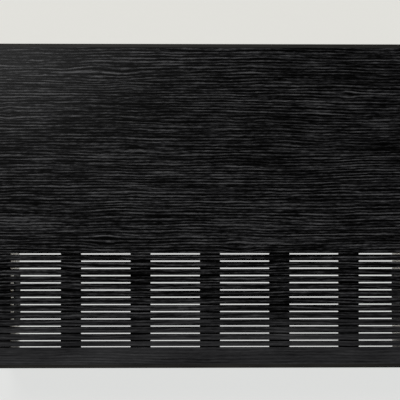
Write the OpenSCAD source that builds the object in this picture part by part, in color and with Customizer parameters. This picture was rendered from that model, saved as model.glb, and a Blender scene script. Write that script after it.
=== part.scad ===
// Slotted wood case for a hi-fi amplifier: a veneered top and two sides, open at the front,
// the rear and below. Millimetres, +Z up, front at -Y, origin at the middle of the base.

/* [Case] */
// Clear width between the two side panels
inner_w = 443; // [400:1:500]
// Overall height
case_h = 155; // [125:1:200]
// Overall depth, front to rear
case_d = 359; // [355:1:420]
// Thickness of the three boards
panel_t = 15; // [13:0.5:18]
// Rounding along the two outer top corners
arris_r = 1; // [0.5:0.25:2]

/* [Lipping] */
// Thickness of the solid strips on the front and rear edges
lipping_t = 4; // [2:0.5:6]
// Chamfer on the outer edge of each strip
lipping_ease = 0.6; // [0.2:0.1:1.2]

/* [Vent slots] */
// Number of saw-cut slots across the top
slot_count = 14; // [8:1:14]
// Width of a slot
slot_w = 1.55; // [1.25:0.05:3]
// Distance from one slot to the next
slot_pitch = 8; // [6:0.25:8]
// Distance between the last two slots, which sit closer together
last_slot_pitch = 6.8; // [5:0.1:8]
// Distance from the rear edge to the middle of the last slot
last_slot_setback = 23.5; // [20:0.1:30]

/* [Vent pockets] */
// Number of ribs left standing under the slots
rib_count = 5; // [3:2:5]
// Width of a rib
rib_w = 22.4; // [12:0.2:30]
// Distance from one rib to the next
rib_pitch = 77.3; // [60:0.1:82]
// Thickness of the slats above the pockets
slat_t = 7.5; // [4:0.25:9]
// How far the slots are sawn deeper than the slats are thick
slot_break = 0.5; // [0.25:0.25:1]
// How far a pocket runs past the first and the last slot
pocket_overrun = 7; // [6.5:0.5:9]
// Corner radius that the router leaves in a pocket
pocket_r = 6; // [3:0.5:6]

/* [Mitre joints] */
// Width of the loose spline across a mitre
spline_w = 8; // [5:0.5:8]
// Thickness of the spline
spline_t = 2.5; // [2:0.25:3]
// Distance from the inner corner to the middle of the spline, along the mitre
spline_setback = 6.7; // [5:0.1:8]
// Length of the spline, which stops short of the slots
spline_l = 205; // [120:5:205]
// Distance from the front edge to the spline
spline_y = 12; // [8:1:14]
// Play between the spline and its kerf, on each side
spline_play = 0.1; // [0.05:0.05:0.2]

/* [Glue blocks] */
// Leg of the triangular blocks in the inner corners
block_leg = 10; // [6:0.5:14]
// Length of a block
block_l = 70; // [40:5:80]
// Distance from the front edge to the first block
block_y = 24; // [12:1:30]
// Distance from the first block to the second
block_pitch = 110; // [90:5:120]

/* [Guide pads] */
// Thickness of the felt pads on the inner walls
pad_t = 1.5; // [1:0.25:3]
// Length of a pad, front to rear
pad_l = 58; // [40:1:70]
// Height of a pad
pad_h = 88; // [40:1:100]
// Gap under a pad
pad_lift = 6; // [2:0.5:12]
// Distance from an open end of the case to the middle of a pad
pad_y = 72.5; // [60:0.5:90]
// Corner radius of a pad
pad_r = 5; // [2:0.5:8]

/* [Threaded inserts] */
// Outer diameter of the brass insert
insert_d = 6; // [5.5:0.25:7]
// Length of the insert
insert_l = 10; // [8:0.5:14]
// Diameter of the insert's flange
flange_d = 9; // [8:0.25:10]
// Thickness of the flange, which lies flush with the base
flange_t = 0.8; // [0.5:0.1:1.2]
// Diameter of the bore inside the thread
insert_bore_d = 3.3; // [2.5:0.1:4]
// Distance from an open end of the case to an insert
insert_y = 50; // [30:1:70]
// Play between the insert and its hole, on each side
insert_play = 0.05; // [0.02:0.01:0.1]
// Depth left free beyond the insert for the end of a screw
insert_relief = 4; // [2:0.5:8]

/* [Hidden] */
$fn = 48;
case_w = inner_w + 2 * panel_t;
front_y = -case_d / 2;
rear_y = case_d / 2;
wall_x = inner_w / 2;
under_z = case_h - panel_t;
core_front_y = front_y + lipping_t;
core_rear_y = rear_y - lipping_t;
pocket_z = case_h - slat_t;
slot_depth = slat_t + slot_break;
last_slot = slot_count - 1;
rib_middle = (rib_count - 1) / 2;
insert_x = wall_x + panel_t / 2;
// Overshoot of a cutting tool past the face that it cuts through
past = 1;

// Middle of slot i along Y, counted from the last slot, which sits closer to its neighbour
function slot_y(i) = rear_y - last_slot_setback
    - (i == last_slot ? 0 : last_slot_pitch + (last_slot - 1 - i) * slot_pitch);

// Middle of rib i, measured along X
function rib_x(i) = (i - rib_middle) * rib_pitch;

// Left and right wall of pocket i
function pocket_left(i) = i == 0 ? -wall_x : rib_x(i - 1) + rib_w / 2;
function pocket_right(i) = i == rib_count ? wall_x : rib_x(i) - rib_w / 2;

// Cross-section of the top board, mitred at both ends, seen from the front
module top_section() {
    polygon([
        [-case_w / 2, case_h], [case_w / 2, case_h],
        [wall_x, under_z], [-wall_x, under_z]
    ]);
}

// Cross-section of a side board, seen from the front; side is -1 for left and 1 for right
module side_section(side) {
    polygon([
        [side * case_w / 2, 0], [side * wall_x, 0],
        [side * wall_x, under_z], [side * case_w / 2, case_h]
    ]);
}

// Runs a section seen from the front along Y, from y0 to y1
module run_along_y(y0, y1) {
    translate([0, y1, 0])
        rotate([90, 0, 0])
            linear_extrude(height = y1 - y0)
                children();
}

// The sharp corner outside the rounding, for both long outer edges
module arris_waste() {
    for (side = [-1, 1])
        difference() {
            translate([side * (case_w / 2 - arris_r / 2 + past / 2), 0, case_h - arris_r / 2 + past / 2])
                cube([arris_r + past, case_d + 2 * past, arris_r + past], center = true);
            translate([side * (case_w / 2 - arris_r), 0, case_h - arris_r])
                rotate([90, 0, 0])
                    cylinder(h = case_d + 4 * past, r = arris_r, center = true);
        }
}

// Box between two corners, with its four upright edges rounded
module rounded_pocket(x0, x1, y0, y1, z0, z1, r) {
    translate([x0 + r, y0, z0])
        cube([x1 - x0 - 2 * r, y1 - y0, z1 - z0]);
    translate([x0, y0 + r, z0])
        cube([x1 - x0, y1 - y0 - 2 * r, z1 - z0]);
    for (x = [x0 + r, x1 - r], y = [y0 + r, y1 - r])
        translate([x, y, z0])
            cylinder(h = z1 - z0, r = r);
}

// The saw cuts, which run the whole width of the board
module slots() {
    for (i = [0 : last_slot])
        translate([-case_w / 2 - past, slot_y(i) - slot_w / 2, case_h - slot_depth])
            cube([case_w + 2 * past, slot_w, slot_depth + past]);
}

// The pockets routed from below, which open the slots and leave the ribs standing
module pockets() {
    for (i = [0 : rib_count])
        rounded_pocket(
            pocket_left(i), pocket_right(i),
            slot_y(0) - slot_w / 2 - pocket_overrun,
            slot_y(last_slot) + slot_w / 2 + pocket_overrun,
            under_z - past, pocket_z, pocket_r
        );
}

// A spline, or with play the kerf it lies in, across the mitre at one side
module spline_bar(side, play) {
    centre = spline_setback / sqrt(2);
    translate([side * (wall_x + centre), front_y + spline_y - play, under_z + centre])
        rotate([0, -side * 45, 0])
            translate([-spline_t / 2 - play, 0, -spline_w / 2 - play])
                cube([spline_t + 2 * play, spline_l + 2 * play, spline_w + 2 * play]);
}

// Holes for the two inserts in the base of one side panel
module insert_holes(side) {
    for (y = [front_y + insert_y, rear_y - insert_y])
        translate([side * insert_x, y, 0]) {
            translate([0, 0, -past])
                cylinder(h = past + flange_t, r = flange_d / 2 + insert_play);
            translate([0, 0, -past])
                cylinder(h = past + insert_l + insert_relief, r = insert_d / 2 + insert_play);
        }
}

module top_panel() {
    color("#1f1f1f")
        difference() {
            run_along_y(core_front_y, core_rear_y) top_section();
            arris_waste();
            slots();
            pockets();
            for (side = [-1, 1])
                spline_bar(side, spline_play);
        }
}

module side_panel(side) {
    color("#1f1f1f")
        difference() {
            run_along_y(core_front_y, core_rear_y) side_section(side);
            arris_waste();
            spline_bar(side, spline_play);
            insert_holes(side);
        }
}

// Strip across the top at one end of the case; out is -1 at the front and 1 at the rear
module top_lipping(out) {
    edge = out * case_d / 2;
    inner = edge - out * lipping_t;
    color("#262626")
        difference() {
            intersection() {
                run_along_y(min(edge, inner), max(edge, inner)) top_section();
                rotate([90, 0, 90])
                    linear_extrude(height = case_w, center = true)
                        polygon([
                            [inner, under_z], [edge, under_z],
                            [edge, case_h - lipping_ease],
                            [edge - out * lipping_ease, case_h], [inner, case_h]
                        ]);
            }
            arris_waste();
        }
}

// Strip down one side at one end of the case
module side_lipping(side, out) {
    edge = out * case_d / 2;
    inner = edge - out * lipping_t;
    color("#262626")
        difference() {
            intersection() {
                run_along_y(min(edge, inner), max(edge, inner)) side_section(side);
                linear_extrude(height = case_h)
                    polygon([
                        [side * wall_x, inner], [side * wall_x, edge],
                        [side * (case_w / 2 - lipping_ease), edge],
                        [side * case_w / 2, edge - out * lipping_ease], [side * case_w / 2, inner]
                    ]);
            }
            arris_waste();
        }
}

module mitre_spline(side) {
    color("#b08a5a") spline_bar(side, 0);
}

// Triangular block in the inner corner, starting at a distance from the front edge
module glue_block(side, start) {
    color("#c79d68")
        run_along_y(front_y + start, front_y + start + block_l)
            polygon([
                [side * wall_x, under_z],
                [side * (wall_x - block_leg), under_z],
                [side * wall_x, under_z - block_leg]
            ]);
}

// Felt pad on the inner wall; out is -1 for the front pad and 1 for the rear one
module guide_pad(side, out) {
    middle = out * (case_d / 2 - pad_y);
    color("#141414")
        translate([side * wall_x, middle, pad_lift + pad_h / 2])
            rotate([0, -side * 90, 0])
                rounded_pocket(-pad_h / 2, pad_h / 2, -pad_l / 2, pad_l / 2, 0, pad_t, pad_r);
}

module threaded_insert() {
    difference() {
        union() {
            cylinder(h = flange_t, r = flange_d / 2);
            cylinder(h = insert_l, r = insert_d / 2);
        }
        translate([0, 0, -past])
            cylinder(h = insert_l + 2 * past, r = insert_bore_d / 2);
    }
}

module threaded_inserts() {
    color("#b5964f")
        for (side = [-1, 1], y = [front_y + insert_y, rear_y - insert_y])
            translate([side * insert_x, y, 0])
                threaded_insert();
}

top_panel();
side_panel(-1);  // left_side_panel
side_panel(1);  // right_side_panel
top_lipping(-1);  // front_top_lipping
side_lipping(-1, -1);  // front_left_lipping
side_lipping(1, -1);  // front_right_lipping
top_lipping(1);  // rear_top_lipping
side_lipping(-1, 1);  // rear_left_lipping
side_lipping(1, 1);  // rear_right_lipping
mitre_spline(-1);  // left_mitre_spline
mitre_spline(1);  // right_mitre_spline
glue_block(-1, block_y);  // left_front_glue_block
glue_block(-1, block_y + block_pitch);  // left_middle_glue_block
glue_block(1, block_y);  // right_front_glue_block
glue_block(1, block_y + block_pitch);  // right_middle_glue_block
guide_pad(-1, -1);  // left_front_guide_pad
guide_pad(-1, 1);  // left_rear_guide_pad
guide_pad(1, -1);  // right_front_guide_pad
guide_pad(1, 1);  // right_rear_guide_pad
threaded_inserts();
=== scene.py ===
# %% [markdown]
# # A slotted wood case for an amplifier
# The object is a black-stained ash sleeve: a top and two sides, mitred together, with fourteen
# saw cuts across the rear of the top to let warm air out. The solids of the real pieces come in
# ready made, at their real size and place. This lesson gives them softened edges, wood, felt and
# brass, and lights them as in a small studio with a pale floor.

# %% Load the frame
from math import cos, pi, radians, sin

import bmesh
import bpy
from mathutils import Matrix, Vector, noise


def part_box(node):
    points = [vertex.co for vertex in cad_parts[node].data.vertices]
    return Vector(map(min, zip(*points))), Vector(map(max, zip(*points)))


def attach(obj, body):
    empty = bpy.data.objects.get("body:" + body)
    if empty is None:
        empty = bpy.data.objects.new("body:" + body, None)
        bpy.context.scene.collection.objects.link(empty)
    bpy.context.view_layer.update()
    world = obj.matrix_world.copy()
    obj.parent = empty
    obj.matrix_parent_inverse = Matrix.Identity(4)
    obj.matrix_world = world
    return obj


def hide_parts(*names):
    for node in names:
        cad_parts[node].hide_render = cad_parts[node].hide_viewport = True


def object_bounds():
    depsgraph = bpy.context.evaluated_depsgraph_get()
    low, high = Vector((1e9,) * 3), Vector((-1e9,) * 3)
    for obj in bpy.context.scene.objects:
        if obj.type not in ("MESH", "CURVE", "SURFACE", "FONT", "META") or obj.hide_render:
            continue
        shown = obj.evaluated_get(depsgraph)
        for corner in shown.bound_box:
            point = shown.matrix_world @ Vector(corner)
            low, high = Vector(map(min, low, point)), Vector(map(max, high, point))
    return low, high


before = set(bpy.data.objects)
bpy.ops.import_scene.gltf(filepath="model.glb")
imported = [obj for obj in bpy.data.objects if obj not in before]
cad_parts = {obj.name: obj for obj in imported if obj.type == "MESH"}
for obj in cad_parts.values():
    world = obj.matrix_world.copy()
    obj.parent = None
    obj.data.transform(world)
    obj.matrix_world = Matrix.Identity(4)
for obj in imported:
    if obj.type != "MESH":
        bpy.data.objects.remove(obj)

cad_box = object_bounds()
print("solids span", [round(1000 * (hi - lo), 1) for lo, hi in zip(*cad_box)], "mm")

# %% [markdown]
# ## Sizes
# Blender counts in metres and a cabinet maker in millimetres, so one small function turns the
# one into the other. The main sizes of the case are read from its solids, so that everything
# below follows them.

# %% Sizes taken from the solids


def mm(length):
    """Millimetres to metres."""
    return length / 1000


top_low, top_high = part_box("top_panel")
case_low, case_high = cad_box
case_w = case_high.x - case_low.x
case_d = case_high.y - case_low.y
case_h = case_high.z - case_low.z
board_t = top_high.z - top_low.z
wall_x = case_w / 2 - board_t
print("board", round(1000 * board_t, 2), "mm thick; clear width", round(2000 * wall_x, 1), "mm")

# %% [markdown]
# ## The camera
# The photograph looks straight down on the top from about two metres, with a long lens and a
# turn of a degree or so. The front edge of the case is at the top of the picture, so the
# camera's up direction is the case's front. Both ends of the case run out of the frame.

# %% The camera
VIEW_TARGET = Vector((mm(11.4), mm(-6.6), case_h))
VIEW_FROM = Vector((mm(64.3), mm(-6.6), case_h + mm(2120.3)))
LENS = 172.3
SENSOR = 36.0

camera_data = bpy.data.cameras.new("camera")
camera_data.lens = LENS
camera_data.sensor_width = SENSOR
camera_data.clip_start = 0.05
camera_data.clip_end = 100.0
camera = bpy.data.objects.new("camera", camera_data)
bpy.context.scene.collection.objects.link(camera)
back = (VIEW_FROM - VIEW_TARGET).normalized()
right = Vector((0, -1, 0)).cross(back).normalized()
up = back.cross(right)
camera.matrix_world = Matrix.Translation(VIEW_FROM) @ Matrix((right, up, back)).transposed().to_4x4()
bpy.context.scene.camera = camera
bpy.context.scene.view_settings.view_transform = "Standard"
print("camera", [round(c, 4) for c in VIEW_FROM], "lens", LENS)

# %% [markdown]
# ## Colours and nodes
# Colours are written as they look on a screen, in sRGB hex, and the renderer wants them linear.
# One function does that. A second one adds a shader node, sets its options and fills its inputs
# in order, which keeps each material short enough to read. An input may be a number, a colour,
# another node or one of its sockets.

# %% Helpers for colours and nodes
SRGB_KNEE = 0.04045


def hex_colour(text):
    """An sRGB colour such as "#202020", as linear red, green, blue and alpha."""
    parts = [int(text[i:i + 2], 16) / 255 for i in (1, 3, 5)]
    linear = [c / 12.92 if c <= SRGB_KNEE else ((c + 0.055) / 1.055) ** 2.4 for c in parts]
    return (*linear, 1.0)


def add(tree, kind, *inputs, into=None, **settings):
    """Adds a node. inputs fill its sockets in order, and into fills them by name."""
    new = tree.nodes.new("ShaderNode" + kind)
    for name, value in settings.items():
        setattr(new, name, value)
    usable = [socket for socket in new.inputs if socket.enabled]
    wanted = list(zip(usable, inputs)) + [(new.inputs[k], v) for k, v in (into or {}).items()]
    for socket, value in wanted:
        if isinstance(value, bpy.types.Node):
            value = next(o for o in value.outputs if o.enabled)
        if isinstance(value, bpy.types.NodeSocket):
            tree.links.new(value, socket)
        elif value is not None:
            socket.default_value = value
    return new


def new_material(name):
    """An empty material and its node tree."""
    material = bpy.data.materials.new(name)
    material.use_nodes = True
    material.node_tree.nodes.clear()
    return material, material.node_tree


# %% [markdown]
# ## Floor, sky and lamps
# The ground in the photograph is a pale, nearly even white. Real studios get that by lighting
# the paper, which would flood a black case with light. Here the floor shows a pale colour of its
# own to the camera and to reflections, and still takes the shadow of the case; to all other
# light it is plain pale paper, which throws some light up into the open case.

# %% The floor
FLOOR_SIZE = 14.0
FLOOR_DROP = mm(0.2)
PAPER = "#ebebe9"
PAPER_GLOW = 0.675
PAPER_WARM = (1.018, 1.01, 0.955, 1.0)
# The rear tint is also a few per cent brighter: painted light on the shadowed floor behind the case
PAPER_COOL_PAINTED_LIGHT = (1.025, 1.035, 1.023, 1.0)
PAPER_TURN = (-0.18, 0.05)
PAPER_SHADE = "#50504f"

paper, tree = new_material("pale_paper_floor")
ray = add(tree, "LightPath").outputs
seen = add(tree, "Math", ray["Is Camera Ray"], ray["Is Glossy Ray"], operation="MAXIMUM")
seen = add(tree, "Math", seen, ray["Is Transmission Ray"], operation="MAXIMUM")
bounce = add(tree, "BsdfDiffuse", hex_colour(PAPER))
# Towards the rear the glow turns cooler and is raised a few per cent, painted light that thins the case's
# shadow on the floor behind it
from_front = add(tree, "SeparateXYZ", add(tree, "TexCoord").outputs["Object"]).outputs["Y"]
towards_rear = add(tree, "MapRange", from_front, *PAPER_TURN, 0.0, 1.0)
tint_and_painted_light = add(tree, "Mix", towards_rear, PAPER_WARM, PAPER_COOL_PAINTED_LIGHT, data_type="RGBA")
glow = add(tree, "Emission", tint_and_painted_light, PAPER_GLOW)
shade = add(tree, "BsdfDiffuse", hex_colour(PAPER_SHADE))
shown = add(tree, "AddShader", glow, shade)
front = add(tree, "MixShader", seen, bounce, shown)
from_below = add(tree, "NewGeometry").outputs["Backfacing"]
both = add(tree, "MixShader", from_below, front, add(tree, "BsdfTransparent"))
add(tree, "OutputMaterial", both)

sheet = bmesh.new()
bmesh.ops.create_grid(sheet, x_segments=1, y_segments=1, size=FLOOR_SIZE / 2)
bmesh.ops.translate(sheet, verts=sheet.verts, vec=(0, 0, -FLOOR_DROP))
floor_mesh = bpy.data.meshes.new("floor")
sheet.to_mesh(floor_mesh)
sheet.free()
floor_mesh.materials.append(paper)
floor = bpy.data.objects.new("floor", floor_mesh)
bpy.context.scene.collection.objects.link(floor)

# %% The sky: pale walls all round, and a dark ceiling above
WALL_GLOW = 0.95
WALL_TO = 0.25
CEILING_GLOW = 0.03
CEILING_FROM = 0.75

world = bpy.data.worlds.new("studio")
bpy.context.scene.world = world
world.use_nodes = True
tree = world.node_tree
tree.nodes.clear()
sight = add(tree, "TexCoord").outputs["Generated"]
height = add(tree, "SeparateXYZ", sight).outputs["Z"]
level = add(tree, "MapRange", height, WALL_TO, CEILING_FROM, WALL_GLOW, CEILING_GLOW)
add(tree, "OutputWorld", add(tree, "Background", (1.0, 1.0, 1.0, 1.0), level))

# %% The lamps: a large soft one at the upper left of the picture, and a weak one across from it


def lamp(name, place, size, power):
    """A square lamp at a place, turned towards the middle of the case's top."""
    data = bpy.data.lights.new(name, "AREA")
    data.shape = "SQUARE"
    data.size = size
    data.energy = power
    holder = bpy.data.objects.new(name, data)
    aim = Vector((0, 0, case_h)) - Vector(place)
    holder.matrix_world = Matrix.Translation(place) @ aim.to_track_quat("-Z", "Y").to_matrix().to_4x4()
    bpy.context.scene.collection.objects.link(holder)
    print(name, "at", round(aim.length, 2), "m")


lamp("key_lamp", (0.39, -0.48, 1.90), size=0.4, power=25)
lamp("fill_lamp", (-1.60, 1.10, 1.30), size=1.6, power=6)

# %% [markdown]
# ## Black-stained ash
# Ash is a ring-porous wood: each year's growth starts with a band of wide pores. Stained black
# and lacquered thinly, the pores stay open, so the surface is a field of fine ridges and
# furrows. They run the length of the veneer, wander a little and part round small pin knots.
# What the eye gets is a very dark grey with streaks that catch the light.
#
# The streaks are noise, squeezed across the grain and drawn out along it. Before it is read,
# the coordinate across the grain is itself bent by slower noise, so the streaks waver together
# and never cross. Near a knot it is pushed outwards, so they part round it.

# %% The plan of the grain, in millimetres
FIGURE_SWING = 13.0
FIGURE_LENGTH = 260.0
FIGURE_BREADTH = 80.0
RIPPLE_SWING = 2.2
RIPPLE_LENGTH = 38.0
RIPPLE_BREADTH = 12.0
RING_SPACING = 3.3
RING_DRIFT = 5.0
RING_HEIGHT = 0.12

# Streaks, dashes, flecks and pores: length along the grain, breadth across it, height
GRAIN = [
    (150.0, 2.5, 0.60),
    (34.0, 1.8, 0.70),
    (9.0, 1.2, 0.50),
    (5.0, 0.35, 0.50),
]

# Pin knots in the veneer: place along and across, half length, half breadth, push
KNOTS = [
    (190, -162, 9, 5, 0.7),
    (128, -146, 20, 9, 0.45),
    (96, -138, 17, 7, -0.5),
    (-31, 44, 15, 6, 0.6),
    (222, -104, 8, 6, 0.6),
    (116, 37, 15, 7, 0.55),
    (-60, -92, 9, 5, 0.6),
    (-152, -124, 9, 5, 0.6),
]


def patches(tree, u, v, length, breadth, seed, detail=2.0):
    """Noise about 0.5 whose patches are so long along u and so broad along v."""
    along = add(tree, "Math", u, length, operation="DIVIDE")
    across = add(tree, "Math", v, breadth, operation="DIVIDE")
    place = add(tree, "CombineXYZ", along, across, seed)
    return add(tree, "TexNoise", place, into={"Scale": 1.0, "Detail": detail})


def bend_grain(tree, u, v, knots):
    """The coordinate across the grain, bent so that a straight streak drawn in it wavers."""
    slow = patches(tree, u, v, FIGURE_LENGTH, FIGURE_BREADTH, 3.1, detail=1.0)
    quick = patches(tree, u, v, RIPPLE_LENGTH, RIPPLE_BREADTH, 8.7, detail=1.0)
    bent = add(tree, "Math", slow, FIGURE_SWING, v, operation="MULTIPLY_ADD")
    bent = add(tree, "Math", quick, RIPPLE_SWING, bent, operation="MULTIPLY_ADD")
    for along, across, half_length, half_breadth, push in knots:
        du = add(tree, "Math", u, 1 / half_length, -along / half_length, operation="MULTIPLY_ADD")
        dv = add(tree, "Math", v, 1 / half_breadth, -across / half_breadth, operation="MULTIPLY_ADD")
        far = add(tree, "Math", dv, dv, operation="MULTIPLY")
        far = add(tree, "Math", du, du, far, operation="MULTIPLY_ADD")
        near = add(tree, "Math", 1 / 2.718, far, operation="POWER")
        shove = add(tree, "Math", dv, near, operation="MULTIPLY")
        bent = add(tree, "Math", shove, -push * half_breadth, bent, operation="MULTIPLY_ADD")
    return bent


def open_grain(tree, u, v, knots):
    """Height of the ridges and furrows of the open grain, about zero."""
    bent = bend_grain(tree, u, v, knots)
    drift = patches(tree, u, bent, 70.0, 8.0, 7.3, detail=1.0)
    drift = add(tree, "Math", drift, RING_DRIFT, operation="MULTIPLY")
    ring = add(tree, "Math", bent, 2 * pi / RING_SPACING, drift, operation="MULTIPLY_ADD")
    ring = add(tree, "Math", ring, operation="SINE")
    total = add(tree, "Math", ring, RING_HEIGHT, operation="MULTIPLY")
    for seed, (length, breadth, height) in enumerate(GRAIN):
        noise = patches(tree, u, bent, length, breadth, 1.0 + 4 * seed)
        noise = add(tree, "Math", noise, 0.5, operation="SUBTRACT")
        total = add(tree, "Math", noise, height, total, operation="MULTIPLY_ADD")
    return total


# %% [markdown]
# ## The board
# The boards are veneered fibreboard. The outer face is veneer; the walls of the slots are core
# that was stained with it; the pockets, routed from below, are bare core; and the inner face has
# a pale backing paper. One material can hold all four, because the depth in the board and the
# way that a face looks tell them apart.
#
# A Mapping node turns each board's coordinates so that u runs along the grain, v across it, and
# w through the board up to the outer face. The three boards share one sheet of veneer, so the
# figure folds round the mitres without a break.

# %% The board material
VENEER_TONES = ["#000000", "#040404", "#131314", "#2a2a2b", "#424243"]
CORE_STAINED = "#090909"
CORE_BARE = "#6a5238"
CORE_BARE_DARK = "#4b3926"
BACKING = "#eeece6"
BACKING_DARK = "#dedcd6"
OUTSIDE_W = 1000 * case_h
INSIDE_W = OUTSIDE_W - 1000 * board_t
VENEER_W = OUTSIDE_W - 0.6
BACKING_W = INSIDE_W + 0.25
POCKET_W = INSIDE_W + 7.0
QUIET_FROM = 70.0
QUIET_TO = 168.0
QUIET_GRAIN = 0.2
GRAIN_CONTRAST = 2.25
BAND_AT = 24.0
BAND_HALF = 48.0
BAND_LIFT = 0.07
STREAK_RELIEF = mm(0.2)
LACQUER = 0.028
# How far in from the open ends the backing is darkened, at the bottom and at the top, and how dark
INNER_END_DARK = "#060606"
INNER_END_DARK_LOW = 12.0
INNER_END_DARK_HIGH = 62.0
INNER_END_DARK_SOFT = 9.0
INNER_END_DARK_COVER = 0.8


def board_material(name, turn=(0, 0, 0), shift=(0, 0, 0), knots=(), pockets=False):
    """Veneered fibreboard. turn and shift bring u along the grain, and w to the outer face."""
    material, tree = new_material(name)
    coordinates = add(tree, "TexCoord").outputs
    placed = add(tree, "Mapping", coordinates["Object"], shift, turn, (1000, 1000, 1000))
    u, v, w = add(tree, "SeparateXYZ", placed).outputs

    # The veneer: the open grain about a slowly changing tone, quieter at the rear edge
    ridge = open_grain(tree, u, v, knots)
    quiet = add(tree, "MapRange", v, QUIET_FROM, QUIET_TO, 1.0, QUIET_GRAIN,
                interpolation_type="SMOOTHSTEP")
    ridge = add(tree, "Math", ridge, quiet, operation="MULTIPLY")
    cloud = patches(tree, u, v, 110.0, 26.0, 2.0)
    lift = add(tree, "MapRange", v, QUIET_FROM, QUIET_TO, 0.12, 0.44, interpolation_type="SMOOTHSTEP")
    off_band = add(tree, "Math", add(tree, "Math", v, BAND_AT, operation="SUBTRACT"), operation="ABSOLUTE")
    band = add(tree, "MapRange", off_band, 0.0, BAND_HALF, BAND_LIFT, 0.0, interpolation_type="SMOOTHSTEP")
    tone = add(tree, "Math", cloud, 0.5, lift, operation="MULTIPLY_ADD")
    tone = add(tree, "Math", tone, band, operation="ADD")
    lit = add(tree, "Math", ridge, GRAIN_CONTRAST, tone, operation="MULTIPLY_ADD")
    veneer = add(tree, "ValToRGB", lit)
    stops = veneer.color_ramp.elements
    stops[0].color = hex_colour(VENEER_TONES[0])
    stops[1].color = hex_colour(VENEER_TONES[-1])
    for i in range(1, len(VENEER_TONES) - 1):
        stops.new(i / (len(VENEER_TONES) - 1)).color = hex_colour(VENEER_TONES[i])

    # The core, stained in the slots and bare in the pockets, and the backing paper, darker near the open
    # ends
    grit = add(tree, "TexNoise", placed, into={"Scale": 1.4, "Detail": 3.0})
    blotch = add(tree, "TexNoise", placed, into={"Scale": 0.05, "Detail": 2.0})
    backing = add(tree, "Mix", blotch, hex_colour(BACKING_DARK), hex_colour(BACKING), data_type="RGBA")
    x, y, z = add(tree, "SeparateXYZ", coordinates["Object"]).outputs
    # The backing is darkened near the open ends of the case, and the dark reaches further in near the top
    reach = add(tree, "MapRange", z, 0.0, case_h, INNER_END_DARK_LOW, INNER_END_DARK_HIGH)
    from_end = add(tree, "Math", add(tree, "Math", y, operation="ABSOLUTE"), -1000, 500 * case_d,
                   operation="MULTIPLY_ADD")
    past_dark_edge = add(tree, "Math", from_end, reach, operation="SUBTRACT")
    end_darkening = add(tree, "MapRange", past_dark_edge, -INNER_END_DARK_SOFT, INNER_END_DARK_SOFT, INNER_END_DARK_COVER, 0.0,
                  interpolation_type="SMOOTHSTEP")
    backing = add(tree, "Mix", end_darkening, backing, hex_colour(INNER_END_DARK), data_type="RGBA")
    core = hex_colour(CORE_STAINED)
    if pockets:
        bare = add(tree, "Mix", grit, hex_colour(CORE_BARE_DARK), hex_colour(CORE_BARE), data_type="RGBA")
        facing = add(tree, "SeparateXYZ", coordinates["Normal"]).outputs["Z"]
        downward = add(tree, "Math", facing, -0.5, operation="LESS_THAN")
        not_upward = add(tree, "Math", facing, 0.5, operation="LESS_THAN")
        routed = add(tree, "Math", w, POCKET_W, operation="LESS_THAN")
        routed = add(tree, "Math", routed, not_upward, operation="MULTIPLY")
        routed = add(tree, "Math", routed, downward, operation="MAXIMUM")
        core = add(tree, "Mix", routed, core, bare, data_type="RGBA")

    is_veneer = add(tree, "Math", w, VENEER_W, operation="GREATER_THAN")
    is_backing = add(tree, "Math", w, BACKING_W, operation="LESS_THAN")
    colour = add(tree, "Mix", is_veneer, core, veneer, data_type="RGBA")
    colour = add(tree, "Mix", is_backing, colour, backing, data_type="RGBA")
    gloss = add(tree, "MapRange", ridge, -0.12, 0.12, 0.95, 0.27)
    rough = add(tree, "Mix", is_veneer, 0.8, gloss, data_type="FLOAT")
    relief = add(tree, "Mix", is_veneer, add(tree, "Math", grit, 0.3, operation="MULTIPLY"), ridge,
                 data_type="FLOAT")
    normal = add(tree, "Bump", into={"Distance": STREAK_RELIEF, "Height": relief})
    surface = add(tree, "BsdfPrincipled", into={
        "Base Color": colour, "Roughness": rough, "Normal": normal, "IOR": 1.45,
        "Specular IOR Level": 0.02, "Coat Weight": LACQUER, "Coat Roughness": 0.22,
    })
    add(tree, "OutputMaterial", surface)
    return material


fold = 1000 * (case_w / 2 + case_h)
slide = 1000 * (case_h - case_w / 2)
top_wood = board_material("black_ash_veneer_top", knots=KNOTS, pockets=True)
right_wood = board_material("black_ash_veneer_right", turn=(0, radians(-90), 0), shift=(fold, 0, slide))
left_wood = board_material("black_ash_veneer_left", turn=(0, radians(90), 0), shift=(-fold, 0, slide))
print("board materials", [m.name for m in (top_wood, right_wood, left_wood)])

# %% [markdown]
# ## The lippings
# Fibreboard has a rough brown edge, so a maker glues a thin strip of solid ash over the front
# and rear edges before staining. The strip is planed flush, its grain runs along it, and the
# stain takes more evenly than on veneer, so it shows as a plain narrow band with a trace of
# brown. It is solid wood, so one simple pattern will do.

# %% The lipping material
LIPPING_DARK = "#0f0e0d"
LIPPING_LIGHT = "#2a2926"


def lipping_material(name, along_z=False):
    """Stained solid ash with its grain along X, or along Z on the upright strips."""
    material, tree = new_material(name)
    placed = add(tree, "Mapping", add(tree, "TexCoord").outputs["Object"], None, None, (1000, 1000, 1000))
    x, y, z = add(tree, "SeparateXYZ", placed).outputs
    u, v, w = (z, y, x) if along_z else (x, y, z)
    across = add(tree, "Math", v, w, operation="ADD")
    streak = patches(tree, u, across, 45.0, 1.1, 4.0)
    cloud = patches(tree, u, across, 90.0, 30.0, 6.0)
    mixed = add(tree, "Math", streak, 1.4, -0.2, operation="MULTIPLY_ADD")
    mixed = add(tree, "Math", cloud, 0.6, mixed, operation="MULTIPLY_ADD")
    mixed = add(tree, "Math", mixed, 0.3, operation="SUBTRACT")
    colour = add(tree, "Mix", mixed, hex_colour(LIPPING_DARK), hex_colour(LIPPING_LIGHT), data_type="RGBA")
    normal = add(tree, "Bump", into={"Distance": mm(0.06), "Height": streak})
    surface = add(tree, "BsdfPrincipled", into={
        "Base Color": colour, "Roughness": 0.42, "Normal": normal, "IOR": 1.45,
        "Specular IOR Level": 0.05,
    })
    add(tree, "OutputMaterial", surface)
    return material


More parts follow.
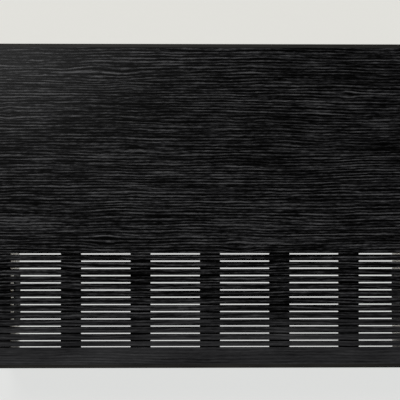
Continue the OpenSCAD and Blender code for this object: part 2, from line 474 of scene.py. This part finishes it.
level_lipping = lipping_material("black_ash_lipping_level")
upright_lipping = lipping_material("black_ash_lipping_upright", along_z=True)

# %% [markdown]
# ## Softened edges
# A cabinet maker takes the sharp edge off every board with a few strokes of fine paper. The
# solids have dead sharp edges, which no real light ever sees, so each board is copied, its
# loose triangles are welded and flattened into whole faces, and the edges that stick out are
# bevelled by a fraction of a millimetre. The copy then stands in for the solid.

# %% A function for softened copies
WELD = mm(0.002)
FLAT = radians(0.5)
SHARP = radians(30)


def whole_faces(node):
    """A solid of the frame as a bmesh of whole faces in place of loose triangles."""
    shape = bmesh.new()
    shape.from_mesh(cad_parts[node].data)
    bmesh.ops.remove_doubles(shape, verts=shape.verts, dist=WELD)
    bmesh.ops.dissolve_limit(shape, angle_limit=FLAT, verts=shape.verts, edges=shape.edges)
    return shape


def soften(shape, width, where=lambda edge: True):
    """Bevels the sharp convex edges that where accepts."""
    sharp = [e for e in shape.edges
             if e.is_manifold and e.is_convex and e.calc_face_angle() > SHARP and where(e)]
    made = bmesh.ops.bevel(shape, geom=sharp, affect="EDGES", offset=width, offset_type="OFFSET",
                           segments=2, profile=0.5, material=-1, clamp_overlap=True)
    for face in made["faces"]:
        face.smooth = True
    return len(sharp)


def finish_piece(shape, name, materials, slot, *nodes):
    """Makes an object of a bmesh, which rides on the case and stands in for nodes."""
    mesh = bpy.data.meshes.new(name)
    shape.to_mesh(mesh)
    shape.free()
    for material in materials:
        mesh.materials.append(material)
    piece = bpy.data.objects.new(name, mesh)
    bpy.context.scene.collection.objects.link(piece)
    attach(piece, "root")
    if nodes:
        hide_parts(*nodes)
    return piece


# %% The three boards
SLOT_EASE = mm(0.35)
JOINT_EASE = mm(0.12)


def at_slot(edge):
    """True for an edge of the top face that runs along a slot."""
    ends = [v.co for v in edge.verts]
    level = all(abs(p.z - case_h) < WELD for p in ends)
    along_x = abs(ends[0].y - ends[1].y) < WELD
    inside = top_low.y + WELD < ends[0].y < top_high.y - WELD
    return level and along_x and inside


shape = whole_faces("top_panel")
eased = soften(shape, SLOT_EASE, at_slot)
finish_piece(shape, "top_board", [top_wood], "black_ash", "top_panel")
print("slot edges eased:", eased)

for side, wood in (("left", left_wood), ("right", right_wood)):
    shape = whole_faces(side + "_side_panel")
    soften(shape, JOINT_EASE)
    finish_piece(shape, side + "_board", [wood], "black_ash", side + "_side_panel")

# %% The six lippings
for end in ("front", "rear"):
    for part, wood in (("top", level_lipping), ("left", upright_lipping), ("right", upright_lipping)):
        node = end + "_" + part + "_lipping"
        shape = whole_faces(node)
        soften(shape, JOINT_EASE)
        finish_piece(shape, node + "_strip", [wood], "ash_lipping", node)

# %% [markdown]
# ## Felt pads
# Four pads of pressed wool felt are glued to the inner walls, and the chassis slides in between
# them. Felt is a mat of fibres: its cut rim is soft, its face is never quite flat, and it
# swallows light but shows a faint bloom at a glancing angle. Each pad here is a block with its
# corners rounded and its rim eased, cut into a fine grid so that its face can swell and sink.

# %% The felt material
FELT_DARK = "#040404"
FELT_LIGHT = "#1a1a1b"

felt, tree = new_material("black_wool_felt")
placed = add(tree, "Mapping", add(tree, "TexCoord").outputs["Object"], None, None, (1000, 1000, 1000))
fibres = add(tree, "TexNoise", placed, into={"Scale": 1.5, "Detail": 6.0, "Distortion": 1.5})
clumps = add(tree, "TexNoise", placed, into={"Scale": 0.18, "Detail": 2.0})
fuzz = add(tree, "Math", fibres, 1.6, -0.6, operation="MULTIPLY_ADD")
fuzz = add(tree, "Math", clumps, 0.6, fuzz, operation="MULTIPLY_ADD")
colour = add(tree, "Mix", fuzz, hex_colour(FELT_DARK), hex_colour(FELT_LIGHT), data_type="RGBA")
normal = add(tree, "Bump", into={"Distance": mm(0.25), "Height": fibres})
surface = add(tree, "BsdfPrincipled", into={
    "Base Color": colour, "Roughness": 0.95, "Normal": normal, "Specular IOR Level": 0.1,
    "Sheen Weight": 0.08, "Sheen Roughness": 0.6,
})
add(tree, "OutputMaterial", surface)

# %% The pads
PAD_CORNER = mm(5)
PAD_RIM = mm(0.45)
PAD_GRID = mm(4)
PAD_SWELL = mm(0.25)


def runs_along_x(edge):
    """True for an edge parallel to X."""
    step = edge.verts[1].co - edge.verts[0].co
    return max(abs(step.y), abs(step.z)) < WELD < abs(step.x)


def cut_grid(shape, axis, low, high, pitch):
    """Cuts a shape by evenly spaced planes across an axis, 1 for Y and 2 for Z."""
    cuts = round((high - low) / pitch)
    across = Vector((0, 0, 0))
    across[axis] = 1
    for i in range(1, cuts):
        place = across * (low + (high - low) * i / cuts)
        everything = shape.verts[:] + shape.edges[:] + shape.faces[:]
        bmesh.ops.bisect_plane(shape, geom=everything, plane_co=place, plane_no=across)


def felt_pad(node):
    """A pad of felt in place of a node."""
    low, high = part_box(node)
    outward = 1 if low.x > 0 else -1
    free_x = low.x if low.x > 0 else high.x
    shape = bmesh.new()
    bmesh.ops.create_cube(shape, size=1.0)
    bmesh.ops.scale(shape, verts=shape.verts, vec=high - low)
    bmesh.ops.translate(shape, verts=shape.verts, vec=(low + high) / 2)
    corners = [e for e in shape.edges if runs_along_x(e)]
    bmesh.ops.bevel(shape, geom=corners, affect="EDGES", offset=PAD_CORNER, segments=6, profile=0.5,
                    material=-1)
    rim = [e for e in shape.edges if all(abs(v.co.x - free_x) < WELD for v in e.verts)]
    bmesh.ops.bevel(shape, geom=rim, affect="EDGES", offset=PAD_RIM, segments=3, profile=0.5,
                    material=-1)
    cut_grid(shape, 1, low.y, high.y, PAD_GRID)
    cut_grid(shape, 2, low.z, high.z, PAD_GRID)
    for vert in shape.verts:
        if abs(vert.co.x - free_x) < WELD:
            dent = 0.5 + 0.5 * noise.noise(vert.co / mm(11))
            vert.co.x += outward * PAD_SWELL * min(1, max(0, dent))
    for face in shape.faces:
        face.smooth = True
    for edge in shape.edges:
        edge.smooth = edge.calc_face_angle(0) < SHARP
    pad = finish_piece(shape, node.replace("guide", "felt"), [felt], "felt", node)
    return pad


for side in ("left", "right"):
    for end in ("front", "rear"):
        pad = felt_pad(side + "_" + end + "_guide_pad")
        print(pad.name, len(pad.data.polygons), "faces")

# %% [markdown]
# ## Glue blocks
# A mitre is a weak joint, so a maker rubs three-sided blocks of softwood into the inner corner
# with glue. They are sawn from pine and nobody ever sees them, so they stay raw, with the marks
# of the saw. Rubbing squeezes a bead of glue out along both edges, which dries where it is.

# %% The pine and the dried glue
PINE_EARLY = "#cfae7c"
PINE_LATE = "#8a5a2e"
GLUE = "#d3bd84"
PINE_RINGS = 1.4
SAW_PITCH = 1.6

pine, tree = new_material("sawn_pine")
placed = add(tree, "Mapping", add(tree, "TexCoord").outputs["Object"], None, None, (1000, 1000, 1000))
x, y, z = add(tree, "SeparateXYZ", placed).outputs
waver = patches(tree, y, x, 60.0, 14.0, 5.0)
slant = add(tree, "Math", x, 0.35, z, operation="MULTIPLY_ADD")
slant = add(tree, "Math", waver, 3.0, slant, operation="MULTIPLY_ADD")
ring = add(tree, "Math", slant, PINE_RINGS, operation="PINGPONG")
ring = add(tree, "Math", ring, 1 / PINE_RINGS, operation="MULTIPLY")
ring = add(tree, "Math", ring, 1.6, operation="POWER")
fibre = patches(tree, y, slant, 9.0, 0.5, 9.0)
ring = add(tree, "Math", fibre, 0.35, ring, operation="MULTIPLY_ADD")
colour = add(tree, "Mix", ring, hex_colour(PINE_EARLY), hex_colour(PINE_LATE), data_type="RGBA")
kerf = add(tree, "Math", y, SAW_PITCH, operation="PINGPONG")
fur = add(tree, "TexNoise", placed, into={"Scale": 2.5, "Detail": 4.0})
marks = add(tree, "Math", kerf, 0.3, fur, operation="MULTIPLY_ADD")
normal = add(tree, "Bump", into={"Distance": mm(0.15), "Height": marks})
surface = add(tree, "BsdfPrincipled", into={
    "Base Color": colour, "Roughness": 0.75, "Normal": normal, "Specular IOR Level": 0.3,
})
add(tree, "OutputMaterial", surface)

dried_glue, tree = new_material("dried_wood_glue")
skin = add(tree, "TexNoise", add(tree, "TexCoord").outputs["Object"], into={"Scale": 900.0, "Detail": 2.0})
normal = add(tree, "Bump", into={"Distance": mm(0.1), "Height": skin})
surface = add(tree, "BsdfPrincipled", into={
    "Base Color": hex_colour(GLUE), "Roughness": 0.35, "Normal": normal, "Subsurface Weight": 0.2,
    "Subsurface Radius": (mm(0.8), mm(0.5), mm(0.3)),
})
add(tree, "OutputMaterial", surface)

# %% The glue blocks and their beads
BLOCK_EASE = mm(0.3)
BEAD_SIDES = 10
BEAD_RADIUS = mm(0.95)
BEAD_CHANGE = mm(0.45)
BEAD_STEP = mm(2)
HAIR = mm(0.01)


def glue_bead(shape, x, z, start, stop):
    """A bead of squeezed glue along Y, thick and thin by turns, which keeps out of the boards."""
    ring = bmesh.ops.create_circle(shape, cap_ends=True, segments=BEAD_SIDES, radius=1.0)["verts"]
    faces = list(ring[0].link_faces)
    steps = round((stop - start) / BEAD_STEP)
    for i in range(steps + 1):
        y = start + (stop - start) * i / steps
        radius = BEAD_RADIUS + BEAD_CHANGE * noise.noise(Vector((x, y, z)) / mm(6))
        if i in (0, steps):
            radius *= 0.4
        if i > 0:
            made = bmesh.ops.extrude_face_region(shape, geom=faces[-1:])["geom"]
            faces.append(next(f for f in made if isinstance(f, bmesh.types.BMFace)))
            ring = list(faces[-1].verts)
        for j, vert in enumerate(ring):
            angle = 2 * pi * j / BEAD_SIDES
            out_x = min(wall_x - HAIR, abs(x + radius * cos(angle)))
            out_z = min(top_low.z - HAIR, z + radius * sin(angle))
            vert.co = (out_x if x > 0 else -out_x, y, out_z)


for side in ("left", "right"):
    for place in ("front", "middle"):
        node = side + "_" + place + "_glue_block"
        low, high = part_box(node)
        shape = whole_faces(node)
        soften(shape, BLOCK_EASE)
        wood_faces = set(shape.faces)
        wall, inner = (high.x, low.x) if side == "right" else (low.x, high.x)
        glue_bead(shape, wall, low.z, low.y + mm(3), high.y - mm(2))
        glue_bead(shape, inner, high.z, low.y + mm(1), high.y - mm(4))
        beads = [f for f in shape.faces if f not in wood_faces]
        for face in beads:
            face.material_index = 1
            face.smooth = True
        bmesh.ops.recalc_face_normals(shape, faces=beads)
        finish_piece(shape, node + "_with_glue", [pine, dried_glue], "softwood", node)
print("glue blocks done, beads of", len(beads) // 2, "faces")

# %% [markdown]
# ## Splines
# A loose tongue of birch plywood runs in a groove across each mitre. It is buried in the joint,
# so its solid stays as it is, and only gets the look of thin plies, seen where a cut opens the
# case. The plies lie in the thickness of the tongue, at 45 degrees to the boards.

# %% The plywood
PLY = 0.83
BIRCH = "#d2b084"
BIRCH_END = "#a8824f"
SPLINE_SETBACK = 6.7

for side, turn in (("left", 45), ("right", -45)):
    plywood, tree = new_material("birch_plywood_" + side)
    placed = add(tree, "Mapping", add(tree, "TexCoord").outputs["Object"], None, (0, radians(turn), 0),
                 (1000, 1000, 1000))
    x, y, z = add(tree, "SeparateXYZ", placed).outputs
    centre = 1000 * (wall_x + top_low.z) / 2 ** 0.5 + SPLINE_SETBACK
    ply = add(tree, "Math", z, centre - PLY / 2, operation="SUBTRACT")
    ply = add(tree, "Math", ply, PLY, operation="PINGPONG")
    crossed = add(tree, "Math", ply, PLY / 2, operation="GREATER_THAN")
    fibre = patches(tree, y, x, 14.0, 0.6, 2.0)
    pale = add(tree, "Mix", fibre, hex_colour(BIRCH_END), hex_colour(BIRCH), data_type="RGBA")
    colour = add(tree, "Mix", crossed, pale, hex_colour(BIRCH_END), data_type="RGBA")
    normal = add(tree, "Bump", into={"Distance": mm(0.05), "Height": fibre})
    surface = add(tree, "BsdfPrincipled", into={"Base Color": colour, "Roughness": 0.7, "Normal": normal})
    add(tree, "OutputMaterial", surface)
    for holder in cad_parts[side + "_mitre_spline"].material_slots:
        holder.material = plywood
    print(plywood.name, "centre of the plies at", round(centre, 2), "mm")

# %% [markdown]
# ## Brass inserts
# Screws bite badly into fibreboard, so four brass inserts are pressed into the lower edges of
# the sides. An insert is a turned part: a section spun about its own axis. Its shoulders face
# down, so that it slips in easily and bites when it is pulled. The thread is a small triangle
# spun along a helix, 0.7 mm a turn, as for an M4 screw.

# %% The brass
BRASS = "#c8a552"
BRASS_WORN = "#a8853a"

brass, tree = new_material("turned_brass")
placed = add(tree, "Mapping", add(tree, "TexCoord").outputs["Object"], None, None, (1000, 1000, 1000))
x, y, z = add(tree, "SeparateXYZ", placed).outputs
low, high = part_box("threaded_inserts")
FLANGE_R = mm(4.5)
insert_x, insert_y = high.x - FLANGE_R, high.y - FLANGE_R
dx = add(tree, "Math", add(tree, "Math", x, operation="ABSOLUTE"), 1000 * insert_x, operation="SUBTRACT")
dy = add(tree, "Math", add(tree, "Math", y, operation="ABSOLUTE"), 1000 * insert_y, operation="SUBTRACT")
radius = add(tree, "Math", dy, dy, add(tree, "Math", dx, dx, operation="MULTIPLY"), operation="MULTIPLY_ADD")
radius = add(tree, "Math", radius, operation="SQRT")
turned = add(tree, "TexNoise", add(tree, "CombineXYZ", radius, z), into={"Scale": 6.0, "Detail": 3.0})
worn = add(tree, "TexNoise", placed, into={"Scale": 0.7, "Detail": 2.0})
colour = add(tree, "Mix", worn, hex_colour(BRASS_WORN), hex_colour(BRASS), data_type="RGBA")
normal = add(tree, "Bump", into={"Distance": mm(0.02), "Height": turned})
surface = add(tree, "BsdfPrincipled", into={
    "Base Color": colour, "Metallic": 1.0, "Roughness": 0.28, "Normal": normal,
})
add(tree, "OutputMaterial", surface)

# %% The inserts
FLANGE_T = mm(0.8)
BODY_R = mm(3)
NECK_R = mm(2.6)
BORE_R = mm(2)
CREST_R = mm(1.66)
PITCH = mm(0.7)
BARBS = 5
BARB_PITCH = mm(1.6)
BARB_FROM = mm(1.3)
CHAMFER = mm(0.4)
TURN_STEPS = 40
HELIX_STEPS = 24
insert_l = high.z - low.z

# The section, as radius and height: the flange, the barbs, the tip, and the bore back down
section = [(BORE_R + CHAMFER, 0), (FLANGE_R - mm(0.1), 0), (FLANGE_R, mm(0.1)), (FLANGE_R, FLANGE_T),
           (NECK_R, FLANGE_T)]
for i in range(BARBS):
    section += [(NECK_R, BARB_FROM + i * BARB_PITCH), (BODY_R, BARB_FROM + i * BARB_PITCH + mm(0.1))]
section += [(NECK_R, BARB_FROM + BARBS * BARB_PITCH), (NECK_R, insert_l - mm(0.2)),
            (NECK_R - mm(0.2), insert_l), (BORE_R + mm(0.2), insert_l), (BORE_R, insert_l - mm(0.2)),
            (BORE_R, CHAMFER)]


def spin_section(shape, points, turns, steps, rise):
    """Spins a closed section about Z, rising by so much a turn, and closes a helix's ends."""
    verts = [shape.verts.new((r, 0, z)) for r, z in points]
    edges = [shape.edges.new(pair) for pair in zip(verts, verts[1:] + verts[:1])]
    bmesh.ops.spin(shape, geom=verts + edges, cent=(0, 0, 0), axis=(0, 0, 1), angle=2 * pi * turns,
                   steps=round(steps * turns), dvec=(0, 0, rise / steps), use_merge=rise == 0)
    ends = [e for e in shape.edges if e.is_boundary]
    if ends:
        bmesh.ops.holes_fill(shape, edges=ends)


shape = bmesh.new()
spin_section(shape, section, 1, TURN_STEPS, 0)
thread = [(BORE_R + HAIR, 0), (CREST_R, mm(0.3)), (BORE_R + HAIR, mm(0.6))]
turns = (insert_l - 2 * CHAMFER - mm(0.6)) / PITCH
spin_section(shape, [(r, z + CHAMFER) for r, z in thread], int(turns), HELIX_STEPS, PITCH)
bmesh.ops.recalc_face_normals(shape, faces=shape.faces)
for edge in shape.edges:
    edge.smooth = edge.calc_face_angle(0) < SHARP
for face in shape.faces:
    face.smooth = True
first = shape.verts[:] + shape.edges[:] + shape.faces[:]
for sx, sy in ((-1, -1), (-1, 1), (1, -1)):
    copied = bmesh.ops.duplicate(shape, geom=first)["geom"]
    verts = [g for g in copied if isinstance(g, bmesh.types.BMVert)]
    bmesh.ops.translate(shape, verts=verts, vec=(sx * insert_x, sy * insert_y, low.z))
bmesh.ops.translate(shape, verts=[g for g in first if isinstance(g, bmesh.types.BMVert)],
                    vec=(insert_x, insert_y, low.z))
inserts = finish_piece(shape, "brass_inserts", [brass], "brass", "threaded_inserts")
print("inserts:", len(inserts.data.polygons), "faces, thread of", int(turns), "turns")
